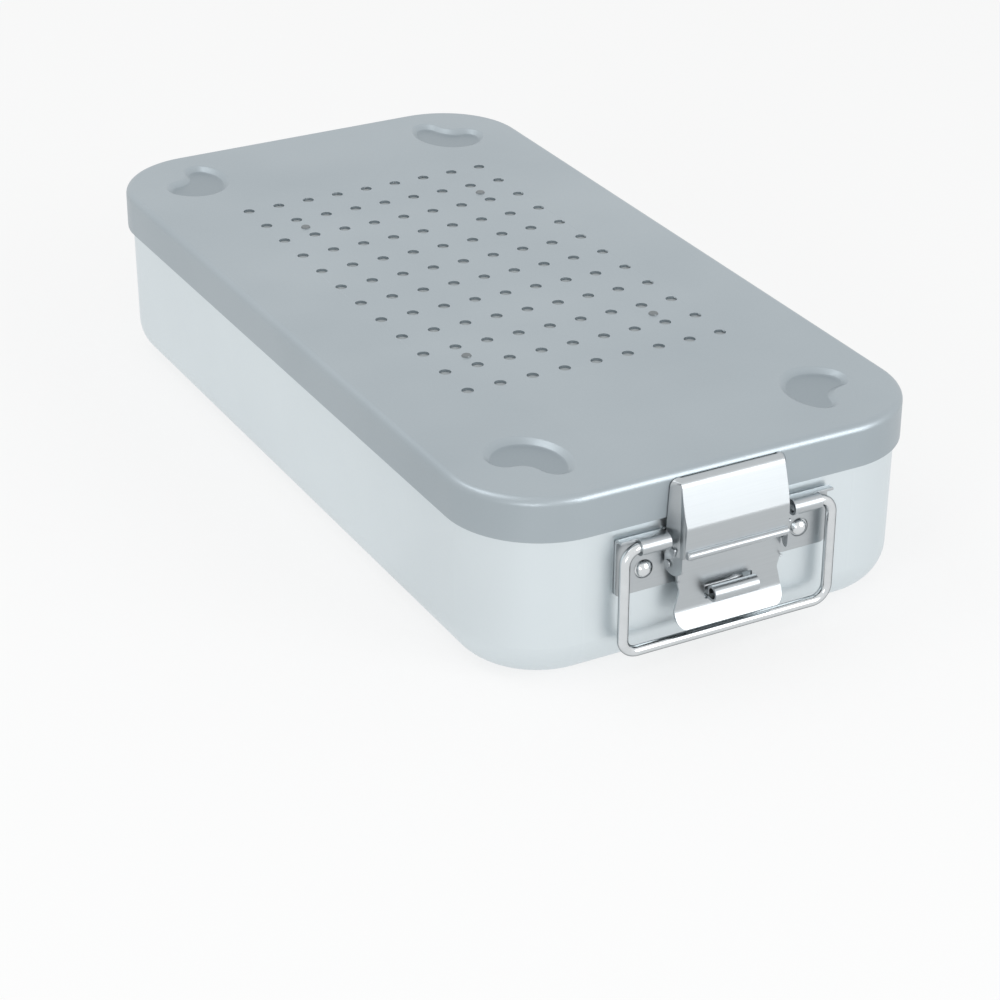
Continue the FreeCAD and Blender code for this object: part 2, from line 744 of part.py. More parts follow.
def cover_block(inset, run_out):
    """Stamping's outer form, or its inside when inset by the sheet and run out behind and below."""
    depth = cover_fold_u - cover_back_u
    back = cover_back_u - run_out
    top = cover_top_z - inset
    low = cover_foot_z - run_out
    foot_slope = (cover_fold_u - cover_foot_u) / (cover_fold_z - cover_foot_z)
    profile = rounded_polygon([(back, low, 0), (cover_foot_u - inset - run_out * foot_slope, low, 0),
                               (cover_fold_u - inset, cover_fold_z, cover_fold_r),
                               (cover_top_u - inset, top, cover_top_r - inset), (back, top, 0)], end_point)
    block = span(profile, -2 * cover_back_half, 2 * cover_back_half)
    front = cover_fold_u + cover_nose - inset
    wide = cover_back_half - inset + run_out * (cover_back_half - cover_front_half) / depth
    narrow = flange_half(front + inset) - inset
    plan = rounded_polygon([(-wide, back, 0), (-narrow, front, cover_corner_r - inset),
                            (narrow, front, cover_corner_r - inset), (wide, back, 0)],
                           lambda x, u: end_point(u, low, x))
    block = block.common(plan.extrude(vec(0, 0, top - low)))
    foot_half = cover_back_half + cover_foot_out - inset
    top_half = cover_back_half - cover_shoulder_in - inset
    shoulders = rounded_polygon([(-foot_half, low, 0), (-top_half, top, cover_shoulder_r - inset),
                                 (top_half, top, cover_shoulder_r - inset), (foot_half, low, 0)],
                                lambda x, z: end_point(back, z, x))
    return block.common(shoulders.extrude(vec(0, back - front, 0)))


def make_cover():
    """Draw-hook cover: a deep stamping with flared flanges, hinge ears, a hook lip and a hemmed foot."""
    cover = cover_block(0, 0).cut(cover_block(cover_sheet, 2 * cover_foot_drop))
    lip_cut = Part.makeBox(2 * cover_lip_half, cover_lip_u, 2 * cover_sheet,
                           end_point(cover_lip_u, cover_top_z - 3 * cover_sheet / 2, -cover_lip_half))
    cover = cover.cut(lip_cut)
    hem_half = cover_front_half - hem_side_gap
    hem = strip_face((cover_foot_u - cover_sheet / 2, cover_foot_z + hem_start), -90,
                     [hem_straight, (hem_r - cover_sheet / 2, -hem_turn)], cover_sheet)
    cover = cover.fuse(span(hem, -hem_half, hem_half))
    ear_x = flange_half(cover_pin_u)
    root_z = cover_foot_z + cover_ear_root_rise
    root_r = cover_ear_root_r
    root_u = cover_pin_u + cover_ear_reach
    ear = hull_face([(cover_pin_u, cover_pin_z, cover_ear_r), (root_u, root_z, root_r),
                     (cover_back_u + root_r, root_z, root_r)])
    for side in (-1, 1):
        x0, x1 = sorted((side * ear_x, side * (ear_x - cover_sheet)))
        cover = cover.fuse(span(ear, x0, x1))
    cover = cover.cut(x_cylinder(cover_pin_u, cover_pin_z, cover_pin_r + press_fit, -2 * ear_x, 2 * ear_x))
    return cover.removeSplitter()


def make_cover_pin():
    grip = flange_half(cover_pin_u) + seat_gap
    collar = (cover_pin_head_r, lever_ear_x + body_gap, grip - seat_gap - cover_sheet - seat_gap)
    return headed_pin(cover_pin_u, cover_pin_z, cover_pin_r, cover_pin_head_r, pin_head_t, grip, [collar])


def make_handle():
    """Wire bail whose ends turn inwards through the knuckles."""
    half = bail_half_width
    r = bail_bend_r
    low = hinge_z - bail_drop
    k = r * math.sqrt(0.5)
    tip = knuckle_inner_x + bail_end_inset

    def at(x, z):
        return end_point(hinge_u, z, x)

    edges = []
    for s in (1, -1):
        chain = [line_edge(at(s * tip, hinge_z), at(s * (half - r), hinge_z)),
                 arc_edge(at(s * (half - r), hinge_z), at(s * (half - r + k), hinge_z - r + k),
                          at(s * half, hinge_z - r)),
                 line_edge(at(s * half, hinge_z - r), at(s * half, low + r)),
                 arc_edge(at(s * half, low + r), at(s * (half - r + k), low + r - k),
                          at(s * (half - r), low))]
        edges += chain
    edges.append(line_edge(at(half - r, low), at(r - half, low)))
    path = Part.Wire(Part.__sortEdges__(edges))
    start = at(tip, hinge_z)
    circle = Part.Wire(Part.makeCircle(bail_wire_r, start, vec(1, 0, 0)))
    return path.makePipeShell([circle], True, False)


def rear_copy(shape):
    turned_copy = shape.copy()
    turned_copy.rotate(vec(0, 0, 0), vec(0, 0, 1), 180)
    return turned_copy


def end_hardware():
    """Every piece of one end, by name."""
    pieces = {"bracket": make_bracket(), "keeper": make_keeper(), "lever": make_lever(),
              "lever_pin": make_lever_pin(), "cover": make_cover(), "cover_pin": make_cover_pin(),
              "handle": make_handle()}
    for name, sign in (("left", -1), ("right", 1)):
        pieces["bracket_rivet_" + name] = make_bracket_rivet(sign * rivet_x)
        pieces["keeper_rivet_" + name] = make_keeper_rivet(sign * keeper_rivet_x)
    return pieces


def make_all():
    nodes = {"pan_shell": make_pan(), "lid_shell": make_lid(), "lid_gasket": make_gasket(),
             "filter_sheet": make_filter_sheet(), "filter_retainer": make_retainer()}
    for i, (x, y) in enumerate(stud_places(), 1):
        nodes["filter_stud_%d" % i] = make_stud(x, y)
        nodes["filter_nut_%d" % i] = make_nut(x, y)
    for name, shape in end_hardware().items():
        nodes["front_" + name] = shape
        nodes["rear_" + name] = rear_copy(shape)
    return nodes


os.makedirs("parts", exist_ok=True)
for node, shape in make_all().items():
    solids = shape.Solids
    if len(solids) == 1:
        shape = solids[0]
    box = shape.BoundBox
    print("%-28s solids %d valid %s volume %.0f" % (node, len(solids), shape.isValid(), shape.Volume))
    print("    x %.1f..%.1f  y %.1f..%.1f  z %.1f..%.1f" % (
        box.XMin, box.XMax, box.YMin, box.YMax, box.ZMin, box.ZMax))
    shape.exportStep("parts/%s.step" % node)
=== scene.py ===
import bmesh
import bpy
import json
import math
from mathutils import Matrix, Vector


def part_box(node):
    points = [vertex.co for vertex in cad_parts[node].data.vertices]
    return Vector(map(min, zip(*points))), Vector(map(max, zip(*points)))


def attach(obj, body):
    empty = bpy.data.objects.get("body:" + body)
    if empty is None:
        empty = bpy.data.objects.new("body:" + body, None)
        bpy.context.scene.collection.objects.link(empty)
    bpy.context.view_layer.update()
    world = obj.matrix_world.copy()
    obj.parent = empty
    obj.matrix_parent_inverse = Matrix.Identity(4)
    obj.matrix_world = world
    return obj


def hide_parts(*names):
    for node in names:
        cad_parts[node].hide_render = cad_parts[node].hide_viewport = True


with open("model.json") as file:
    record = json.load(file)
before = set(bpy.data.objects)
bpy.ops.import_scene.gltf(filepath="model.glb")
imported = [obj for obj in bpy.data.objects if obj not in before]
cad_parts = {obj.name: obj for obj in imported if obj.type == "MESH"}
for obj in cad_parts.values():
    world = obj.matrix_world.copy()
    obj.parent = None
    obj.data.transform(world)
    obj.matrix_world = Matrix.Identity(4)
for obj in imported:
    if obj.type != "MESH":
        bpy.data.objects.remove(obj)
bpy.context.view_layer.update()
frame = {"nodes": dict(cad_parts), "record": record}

nodes = frame["nodes"]
bodyOf = {piece: body for body, held in frame["record"]["behaviour"]["bodies"].items() for piece in held}
mm = 0.001
print("frame loaded:", len(nodes), "nodes")


# Camera, at the place the photograph was taken from, in widths of the lid
cameraSpec = {
    "lidWidth": 0.280,
    "azimuth": -28.664,
    "elevation": 27.968,
    "roll": 0.287,
    "distance": 6.192,
    "target": (-0.0624, -0.1879, -0.0297),
    "focalPixels": 2856.5,
    "framePixels": 1000.0,
    "sensor": 36.0,
    "clip": (0.05, 50),
}


def makeCamera(spec):
    a = math.radians(spec["azimuth"])
    e = math.radians(spec["elevation"])
    back = Vector((math.sin(a) * math.cos(e), -math.cos(a) * math.cos(e), math.sin(e)))
    right = Vector((math.cos(a), math.sin(a), 0))
    up = back.cross(right)
    axes = Matrix((right, up, back)).transposed() @ Matrix.Rotation(math.radians(spec["roll"]), 3, "Z")
    data = bpy.data.cameras.new("photoCamera")
    data.sensor_width = spec["sensor"]
    data.lens = spec["focalPixels"] / spec["framePixels"] * spec["sensor"]
    data.clip_start, data.clip_end = spec["clip"]
    camera = bpy.data.objects.new("photoCamera", data)
    place = (Vector(spec["target"]) + back * spec["distance"]) * spec["lidWidth"]
    camera.matrix_world = Matrix.Translation(place) @ axes.to_4x4()
    bpy.context.scene.collection.objects.link(camera)
    bpy.context.scene.camera = camera


makeCamera(cameraSpec)
bpy.context.scene.view_settings.view_transform = "Standard"


# Colour and material helpers
def linear(hexColour):  # sRGB hex to linear colour
    out = []
    for i in (1, 3, 5):
        c = int(hexColour[i:i + 2], 16) / 255
        out.append(c / 12.92 if c <= 0.04045 else ((c + 0.055) / 1.055) ** 2.4)
    return (*out, 1.0)


def addNode(tree, kind, settings, *links):  # links are (socket, from node, output)
    node = tree.nodes.new(kind)
    for key, value in settings.items():
        if isinstance(key, str) and hasattr(node, key):
            setattr(node, key, value)
        else:
            node.inputs[key].default_value = value
    for socket, source, output in links:
        tree.links.new(source.outputs[output], node.inputs[socket])
    return node


def newMaterial(name):
    material = bpy.data.materials.new(name)
    material.use_nodes = True
    material.node_tree.nodes.clear()
    return material, material.node_tree


def closeMaterial(tree, shader):
    addNode(tree, "ShaderNodeOutputMaterial", {}, ("Surface", shader, 0))


# Satin anodised aluminium: the etch before the bath leaves a fine matt grain, and the clear
# oxide over it scatters light evenly, so the sheet is soft and cloudy and never mirrors
anodisedSpec = {
    "panTones": ("#E0E8EB", "#D6DEE2"),
    "lidTones": ("#B2BBC0", "#A3ADB3"),
    "panRoughness": (0.38, 0.48),
    "lidRoughness": (0.36, 0.46),
    "cloudSize": 120 * mm,
    "cloudDetail": 3.0,
    "grainSize": 1.4 * mm,  # the real etch is finer, and wouldn't show
    "grainDetail": 2.0,
    "grainHeight": 0.02 * mm,
    "grainStrength": 0.5,
    # painted shade: the tone the floors of the lid's wells are mixed towards
    "wellShadeTone": "#98A2A8",
    "wellLevels": (114.6 * mm, 112.4 * mm),
    "floorSlopes": (0.8, 0.97),  # upward part of the normal, from a well's wall to its floor
}


def paintWellShade(tree, place, tone, spec):  # painted shade: the floors of the lid's wells are mixed towards a darker tone, by depth and by how flat they lie
    point = addNode(tree, "ShaderNodeSeparateXYZ", {}, ("Vector", place, "Object"))
    normal = addNode(tree, "ShaderNodeSeparateXYZ", {}, ("Vector", place, "Normal"))
    high, low = spec["wellLevels"]
    deep = addNode(tree, "ShaderNodeMapRange", {"From Min": high, "From Max": low}, ("Value", point, "Z"))
    wall, floor = spec["floorSlopes"]
    level = addNode(tree, "ShaderNodeMapRange", {"From Min": wall, "From Max": floor}, ("Value", normal, "Z"))
    share = addNode(tree, "ShaderNodeMath", {"operation": "MULTIPLY"}, (0, deep, 0), (1, level, 0))
    return addNode(tree, "ShaderNodeMix", {"data_type": "RGBA", 7: linear(spec["wellShadeTone"])}, (0, share, 0),
                   (6, tone, 2))


def satinAnodised(name, tones, roughness, spec, wells=False):
    material, tree = newMaterial(name)
    place = addNode(tree, "ShaderNodeTexCoord", {})
    cloud = addNode(tree, "ShaderNodeTexNoise", {"Scale": 1 / spec["cloudSize"], "Detail": spec["cloudDetail"]},
                    ("Vector", place, "Object"))
    grain = addNode(tree, "ShaderNodeTexNoise", {"Scale": 1 / spec["grainSize"], "Detail": spec["grainDetail"]},
                    ("Vector", place, "Object"))
    tone = addNode(tree, "ShaderNodeMix", {"data_type": "RGBA", 6: linear(tones[0]), 7: linear(tones[1])},
                   (0, cloud, "Fac"))
    # painted shade on the floors of the lid's wells
    if wells:
        tone = paintWellShade(tree, place, tone, spec)
    gloss = addNode(tree, "ShaderNodeMapRange", {"To Min": roughness[0], "To Max": roughness[1]},
                    ("Value", grain, "Fac"))
    bump = addNode(tree, "ShaderNodeBump", {"Strength": spec["grainStrength"], "Distance": spec["grainHeight"]},
                   ("Height", grain, "Fac"))
    shader = addNode(tree, "ShaderNodeBsdfPrincipled", {"Metallic": 1.0}, ("Base Color", tone, 2),
                     ("Roughness", gloss, "Result"), ("Normal", bump, "Normal"))
    closeMaterial(tree, shader)
    return material


# Stainless steel sheet, drawn through a belt: fine lines along X stretch each highlight
brushedSpec = {
    "tones": ("#BCC1C4", "#B3B8BB"),
    "roughness": (0.29, 0.35),
    "lineLength": 40 * mm,
    "lineWidth": 0.5 * mm,  # real lines are finer, and wouldn't show
    "lineDetail": 3.0,
    "lineHeight": 0.004 * mm,
    "lineStrength": 0.6,
}


def brushedStainless(name, spec):
    material, tree = newMaterial(name)
    place = addNode(tree, "ShaderNodeTexCoord", {})
    along, across = 1 / spec["lineLength"], 1 / spec["lineWidth"]
    stretch = addNode(tree, "ShaderNodeMapping", {"Scale": (along, across, across)}, ("Vector", place, "Object"))
    lines = addNode(tree, "ShaderNodeTexNoise", {"Scale": 1.0, "Detail": spec["lineDetail"]},
                    ("Vector", stretch, "Vector"))
    tone = addNode(tree, "ShaderNodeMix", {"data_type": "RGBA", 6: linear(spec["tones"][0]),
                                           7: linear(spec["tones"][1])}, (0, lines, "Fac"))
    smooth, rough = spec["roughness"]
    gloss = addNode(tree, "ShaderNodeMapRange", {"To Min": smooth, "To Max": rough}, ("Value", lines, "Fac"))
    bump = addNode(tree, "ShaderNodeBump", {"Strength": spec["lineStrength"], "Distance": spec["lineHeight"]},
                   ("Height", lines, "Fac"))
    shader = addNode(tree, "ShaderNodeBsdfPrincipled", {"Metallic": 1.0}, ("Base Color", tone, 2),
                     ("Roughness", gloss, "Result"), ("Normal", bump, "Normal"))
    closeMaterial(tree, shader)
    return material


studTones = ("#7F8588", "#73797C")  # the studs' turned ends are duller than sheet


# Electropolished stainless steel: smooth and bright, with a faint waviness left by the tumbling
polishedSpec = {
    "tones": ("#DCDFE1", "#D0D4D6"),
    "rimTone": "#4C5153",  # steel dips in brightness just before its outline
    "roughness": (0.12, 0.17),
    "waveSize": 6 * mm,
    "waveDetail": 2.0,
    "waveHeight": 0.02 * mm,
    "waveStrength": 0.3,
}


def electropolishedStainless(name, spec):
    material, tree = newMaterial(name)
    place = addNode(tree, "ShaderNodeTexCoord", {})
    wave = addNode(tree, "ShaderNodeTexNoise", {"Scale": 1 / spec["waveSize"], "Detail": spec["waveDetail"]},
                   ("Vector", place, "Object"))
    tone = addNode(tree, "ShaderNodeMix", {"data_type": "RGBA", 6: linear(spec["tones"][0]),
                                           7: linear(spec["tones"][1])}, (0, wave, "Fac"))
    smooth, rough = spec["roughness"]
    gloss = addNode(tree, "ShaderNodeMapRange", {"To Min": smooth, "To Max": rough}, ("Value", wave, "Fac"))
    bump = addNode(tree, "ShaderNodeBump", {"Strength": spec["waveStrength"], "Distance": spec["waveHeight"]},
                   ("Height", wave, "Fac"))
    shader = addNode(tree, "ShaderNodeBsdfPrincipled", {"Metallic": 1.0, "Specular Tint": linear(spec["rimTone"])},
                     ("Base Color", tone, 2), ("Roughness", gloss, "Result"), ("Normal", bump, "Normal"))
    closeMaterial(tree, shader)
    return material


# Moulded silicone rubber: slightly milky, soft sheen, fine mould texture
siliconeSpec = {
    "tones": ("#C9C8C0", "#BDBCB4"),
    "roughness": 0.5,
    "ior": 1.41,
    "milkiness": 0.1,
    "milkDepth": 1 * mm,
    "mottleSize": 8 * mm,
    "skinSize": 0.8 * mm,
    "skinHeight": 0.02 * mm,
    "skinStrength": 0.5,
}


def mouldedSilicone(name, spec):
    material, tree = newMaterial(name)
    place = addNode(tree, "ShaderNodeTexCoord", {})
    mottle = addNode(tree, "ShaderNodeTexNoise", {"Scale": 1 / spec["mottleSize"]}, ("Vector", place, "Object"))
    skin = addNode(tree, "ShaderNodeTexNoise", {"Scale": 1 / spec["skinSize"]}, ("Vector", place, "Object"))
    tone = addNode(tree, "ShaderNodeMix", {"data_type": "RGBA", 6: linear(spec["tones"][0]),
                                           7: linear(spec["tones"][1])}, (0, mottle, "Fac"))
    bump = addNode(tree, "ShaderNodeBump", {"Strength": spec["skinStrength"], "Distance": spec["skinHeight"]},
                   ("Height", skin, "Fac"))
    shader = addNode(tree, "ShaderNodeBsdfPrincipled", {"Roughness": spec["roughness"], "IOR": spec["ior"],
                                                        "Subsurface Weight": spec["milkiness"],
                                                        "Subsurface Scale": spec["milkDepth"]},
                     ("Base Color", tone, 2), ("Normal", bump, "Normal"))
    closeMaterial(tree, shader)
    return material


# Non-woven filter paper: matted cellulose fibres, matt and uneven like blotting paper
paperSpec = {
    # the paper's own uneven fibre tone, set greyer than white paper as painted shade for the dark seen through the
    # lid's holes
    "tones": ("#B4BABC", "#9DA4A7"),
    "roughness": 0.9,
    "ior": 1.47,
    "fibreSize": 1.6 * mm,
    "fibreDetail": 4.0,
    "fibreTwist": 1.5,
    "fibreHeight": 0.15 * mm,
    "fibreStrength": 0.6,
}


def filterPaper(name, spec):
    material, tree = newMaterial(name)
    place = addNode(tree, "ShaderNodeTexCoord", {})
    fibre = addNode(tree, "ShaderNodeTexNoise", {"Scale": 1 / spec["fibreSize"], "Detail": spec["fibreDetail"],
                                                 "Distortion": spec["fibreTwist"]}, ("Vector", place, "Object"))
    tone = addNode(tree, "ShaderNodeMix", {"data_type": "RGBA", 6: linear(spec["tones"][0]),
                                           7: linear(spec["tones"][1])}, (0, fibre, "Fac"))
    bump = addNode(tree, "ShaderNodeBump", {"Strength": spec["fibreStrength"], "Distance": spec["fibreHeight"]},
                   ("Height", fibre, "Fac"))
    shader = addNode(tree, "ShaderNodeBsdfPrincipled", {"Roughness": spec["roughness"], "IOR": spec["ior"]},
                     ("Base Color", tone, 2), ("Normal", bump, "Normal"))
    closeMaterial(tree, shader)
    return material


finishes = {
    "pan_aluminium": satinAnodised("paleSatinAnodisedAluminium", anodisedSpec["panTones"],
                                   anodisedSpec["panRoughness"], anodisedSpec),
    "lid_aluminium": satinAnodised("greySatinAnodisedAluminium", anodisedSpec["lidTones"],
                                   anodisedSpec["lidRoughness"], anodisedSpec, wells=True),
    "stainless_brushed": brushedStainless("brushedStainlessSheet", brushedSpec),
    "stainless_polished": electropolishedStainless("electropolishedStainlessSteel", polishedSpec),
    "gasket_silicone": mouldedSilicone("mouldedSilicone", siliconeSpec),
    "filter_paper": filterPaper("nonWovenFilterPaper", paperSpec),
}
slotOf = {part["node"]: part["material_slot"] for part in frame["record"]["subparts"]}
studFinish = brushedStainless("turnedStainlessStud", {**brushedSpec, "tones": studTones})
for name, node in nodes.items():
    node.data.materials.clear()
    node.data.materials.append(studFinish if name.startswith("filter_stud") else finishes[slotOf[name]])
print("finishes made:", len(finishes))


# Making and placing pieces
edgeSpec = {
    "sharpAngle": math.radians(35),
    "easeSteps": 2,
    "mergeDistance": 0.01 * mm,
    "flatAngle": math.radians(0.3),  # triangles flatter than this to each other are one face
    "placeDigits": 7,  # corners are put in order by their place, to a tenth of a micrometre
}


def finishPiece(name, shape, standsFor, bevelWidth=0.0):
    mesh = bpy.data.meshes.new(name)
    shape.to_mesh(mesh)
    shape.free()
    for face in mesh.polygons:
        face.use_smooth = True
    mesh.set_sharp_from_angle(angle=edgeSpec["sharpAngle"])
    piece = bpy.data.objects.new(name, mesh)
    bpy.context.scene.collection.objects.link(piece)
    slot = slotOf[standsFor]
    mesh.materials.append(finishes[slot])
    if bevelWidth:
        bevel = piece.modifiers.new("easedEdges", "BEVEL")
        bevel.width = bevelWidth
        bevel.segments = edgeSpec["easeSteps"]
        bevel.limit_method = "ANGLE"
        bevel.angle_limit = edgeSpec["sharpAngle"]
        bevel.use_clamp_overlap = False
    flat = piece.modifiers.new("flatFaces", "WEIGHTED_NORMAL")  # broad faces stay flat beside their bends
    flat.keep_sharp = True
    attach(piece, bodyOf[standsFor])
    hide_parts(standsFor)


def settle(elements, key):
    place = {g: i for i, g in enumerate(sorted(elements, key=key))}
    elements.sort(key=lambda g: place[g])
    elements.index_update()


def settleOrder(shape):  # the operators leave corners and faces in another order each run
    settle(shape.verts, lambda v: tuple(round(c, edgeSpec["placeDigits"]) for c in v.co))
    for face in [f for f in shape.faces if len(f.verts) > 4]:  # a flat outline starts at its first corner
        corners = list(face.verts)
        first = corners.index(min(corners, key=lambda v: v.index))
        shape.faces.remove(face)
        shape.faces.new(corners[first:] + corners[:first])
    for elements in (shape.edges, shape.faces):
        settle(elements, lambda g: sorted(v.index for v in g.verts))


def turnedAbout(shape):  # the rear hardware is the front's, turned half round
    bmesh.ops.rotate(shape, verts=shape.verts, cent=(0, 0, 0), matrix=Matrix.Rotation(math.pi, 3, "Z"))


# Pressed and stamped pieces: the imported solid's sheet with its cut edges eased, as tumbling leaves them
easedEdges = {
    "filter_retainer": 0.2 * mm,
    "front_lever": 0.12 * mm,
    "rear_lever": 0.12 * mm,
    "front_bracket": 0.12 * mm,
    "rear_bracket": 0.12 * mm,
    "front_keeper": 0.2 * mm,
    "rear_keeper": 0.2 * mm,
}


def mergedCopy(name):
    shape = bmesh.new()
    shape.from_mesh(nodes[name].data)
    bmesh.ops.remove_doubles(shape, verts=shape.verts, dist=edgeSpec["mergeDistance"])
    return shape


def easedCopy(name):
    shape = mergedCopy(name)
    bmesh.ops.dissolve_limit(shape, angle_limit=edgeSpec["flatAngle"], verts=shape.verts, edges=shape.edges)
    return shape


for name, width in easedEdges.items():
    finishPiece(name + "_sheet", easedCopy(name), name, width)
print("sheet pieces eased:", len(easedEdges))


# Lid: drawn sheet, with four kidney wells pressed down for the feet of what is stacked on it. The packed
# solid has them pressed up, so the copy's are turned down, lengthened and moved outwards
lidSpec = {
    "top": 115.0 * mm,
    "underside": 113.5 * mm,
    "wellCentre": (94.0 * mm, 219.0 * mm),
    "wellReach": 27.0 * mm,
    "wellDepth": 2.8 * mm,
    "packedRise": 7.0 * mm,
    "lengthwise": 1.22,  # how much longer along Y than packed
    "outward": {"front": 5.0 * mm, "rear": 9.0 * mm},
}


def pressWells(shape, spec):
    shape.normal_update()
    share = spec["wellDepth"] / spec["packedRise"]
    x, y = spec["wellCentre"]
    for vert in shape.verts:
        if math.hypot(abs(vert.co.x) - x, abs(vert.co.y) - y) < spec["wellReach"]:
            level = spec["top"] if vert.normal.z > 0 else spec["underside"]
            vert.co.z = level - share * max(0.0, vert.co.z - level)
            end = "front" if vert.co.y < 0 else "rear"
            away = y + spec["lengthwise"] * (abs(vert.co.y) - y) + spec["outward"][end]
            vert.co.y = math.copysign(away, vert.co.y)


lid = mergedCopy("lid_shell")
pressWells(lid, lidSpec)
finishPiece("lid_shell_sheet", lid, "lid_shell")
print("lid pressed")


# Covers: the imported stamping, with its upper face leaned back, its foot rolled over and round ears
coverSpec = {
    "wall": 269.2 * mm,
    "foldZ": 86.0 * mm,
    "topZ": 111.9 * mm,
    "leanBack": 4.4 * mm,
    "leanDepths": (4.5 * mm, 11.0 * mm),  # from the wall: still at the first, fully moved at the second
    "narrowing": 2.4 * mm,
    "edge": 0.15 * mm,
    "cutZ": 68.5 * mm,
    "cutTolerance": 1e-7,
    "hemRadius": 2.3 * mm,
    "hemDepth": 16.6 * mm,
    "hemZ": 70.4 * mm,
    "hemHalf": 32.2 * mm,
    "hemEase": 1.2 * mm,
    "hemSides": 24,
    "hemEaseSteps": 4,
    "earDepth": 9.2 * mm,
    "earZ": 62.6 * mm,
    "earRadius": 6.0 * mm,
    "earThickness": 1.2 * mm,
    "earSides": 48,
    "earOverlap": 0.2 * mm,
    "flangeX": 37.6 * mm,  # outside of the flange at the lid, and how fast it comes in towards the front
    "flangeDepth": 3.7 * mm,
    "flangeTaper": 4.0 / 12.7,
}


def leanCover(shape, spec):
    near, far = spec["leanDepths"]
    for vert in shape.verts:
        height = max(0.0, (vert.co.z - spec["foldZ"]) / (spec["topZ"] - spec["foldZ"]))
        depth = -vert.co.y - spec["wall"]
        moved = min(1.0, max(0.0, (depth - near) / (far - near)))
        vert.co.y += spec["leanBack"] * height * moved
        vert.co.x -= math.copysign(spec["narrowing"] * height * moved, vert.co.x)


def cutFoot(shape, spec):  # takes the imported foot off, and closes the cut sheet
    parts = list(shape.verts) + list(shape.edges) + list(shape.faces)
    cut = bmesh.ops.bisect_plane(shape, geom=parts, dist=spec["cutTolerance"], plane_co=(0, 0, spec["cutZ"]),
                                 plane_no=(0, 0, 1), clear_inner=True)["geom_cut"]
    bmesh.ops.contextual_create(shape, geom=[g for g in cut if isinstance(g, bmesh.types.BMEdge)])


def addHem(shape, spec):
    turn = Matrix.Rotation(math.pi / 2, 4, "Y")
    place = Matrix.Translation((0, -spec["wall"] - spec["hemDepth"], spec["hemZ"]))
    bmesh.ops.create_cone(shape, cap_ends=True, segments=spec["hemSides"], radius1=spec["hemRadius"],
                          radius2=spec["hemRadius"], depth=2 * spec["hemHalf"], matrix=place @ turn)
    ends = [e for f in shape.faces if len(f.verts) > 4 for e in f.edges]
    bmesh.ops.bevel(shape, geom=ends, offset=spec["hemEase"], offset_type="OFFSET",
                    segments=spec["hemEaseSteps"], profile=0.5, affect="EDGES", material=-1)


def addEar(shape, side, spec):  # a round ear that carries on the flaring flange
    turn = Matrix.Rotation(math.pi / 2, 4, "Y")
    place = Matrix.Translation((0, -spec["wall"] - spec["earDepth"], spec["earZ"]))
    disc = bmesh.ops.create_circle(shape, cap_ends=True, segments=spec["earSides"], radius=spec["earRadius"],
                                   matrix=place @ turn)["verts"]
    for vert in disc:
        if vert.co.z > spec["earZ"]:
            vert.co.z = spec["cutZ"] + spec["earOverlap"]
        depth = -vert.co.y - spec["wall"]
        vert.co.x = side * (spec["flangeX"] - spec["flangeTaper"] * (depth - spec["flangeDepth"]))
    face = disc[0].link_faces[0]
    grown = bmesh.ops.extrude_face_region(shape, geom=[face])["geom"]
    bmesh.ops.translate(shape, verts=[g for g in grown if isinstance(g, bmesh.types.BMVert)],
                        vec=(-side * spec["earThickness"], 0, 0))


for end in ("front", "rear"):
    cover = easedCopy(end + "_cover")
    if end == "rear":
        turnedAbout(cover)
    cutFoot(cover, coverSpec)
    leanCover(cover, coverSpec)
    foot = bmesh.new()
    addHem(foot, coverSpec)
    for side in (-1, 1):
        addEar(foot, side, coverSpec)
    for shape in (cover, foot):
        bmesh.ops.recalc_face_normals(shape, faces=shape.faces)
        if end == "rear":
            turnedAbout(shape)
    settleOrder(foot)
    finishPiece(end + "_cover_sheet", cover, end + "_cover", coverSpec["edge"])
    finishPiece(end + "_cover_foot", foot, end + "_cover")
print("covers leaned and hemmed")


# Bracket rivets: cold-headed, with a full round head outside and a flat one inside the pan
rivetSpec = {
    "headRadius": 5.6 * mm,
    "headRise": 3.5 * mm,
    "packedRise": 3.5 * mm,
    "shankRadius": 2.0 * mm,
    "tailRadius": 3.4 * mm,
    "tailRise": 1.1 * mm,
    "domeSteps": 8,
    "sides": 40,
    "mergeDistance": 0.002 * mm,
}


def roundRivet(box, spec):
    low, high = Vector(box[0]), Vector(box[1])
    x, z = (low.x + high.x) / 2, (low.z + high.z) / 2
    side = -1 if low.y < 0 else 1
    outer, inner = (low.y, high.y) if side < 0 else (high.y, low.y)
    seat = outer - side * spec["packedRise"]
    back = inner + side * spec["tailRise"]
    dome = (spec["headRadius"] ** 2 + spec["headRise"] ** 2) / (2 * spec["headRise"])
    centre = seat + side * (spec["headRise"] - dome)
    shape = bmesh.new()
    top = shape.verts.new((x, centre + side * dome, z))
    turn = -side * math.asin(spec["headRadius"] / dome)
    rim = bmesh.ops.spin(shape, geom=[top], cent=(x, centre, z), axis=(1, 0, 0), dvec=(0, 0, 0), angle=turn,
                         steps=spec["domeSteps"], use_merge=False, use_duplicate=False)["geom_last"][0]
    for radius, y in ((spec["shankRadius"], seat), (spec["shankRadius"], back), (spec["tailRadius"], back),
                      (spec["tailRadius"], inner), (0.0, inner)):
        corner = shape.verts.new((x, y, z + math.copysign(radius, rim.co.z - z)))
        shape.edges.new((rim, corner))
        rim = corner
    bmesh.ops.spin(shape, geom=list(shape.verts) + list(shape.edges), cent=(x, centre, z), axis=(0, 1, 0),
                   dvec=(0, 0, 0), angle=2 * math.pi, steps=spec["sides"], use_merge=True, use_duplicate=False)
    bmesh.ops.remove_doubles(shape, verts=shape.verts, dist=spec["mergeDistance"])
    bmesh.ops.recalc_face_normals(shape, faces=shape.faces)
    settleOrder(shape)
    return shape


for end in ("front", "rear"):
    for hand in ("left", "right"):
        name = "%s_bracket_rivet_%s" % (end, hand)
        finishPiece(name + "_head", roundRivet(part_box(name), rivetSpec), name)
print("rivets headed")


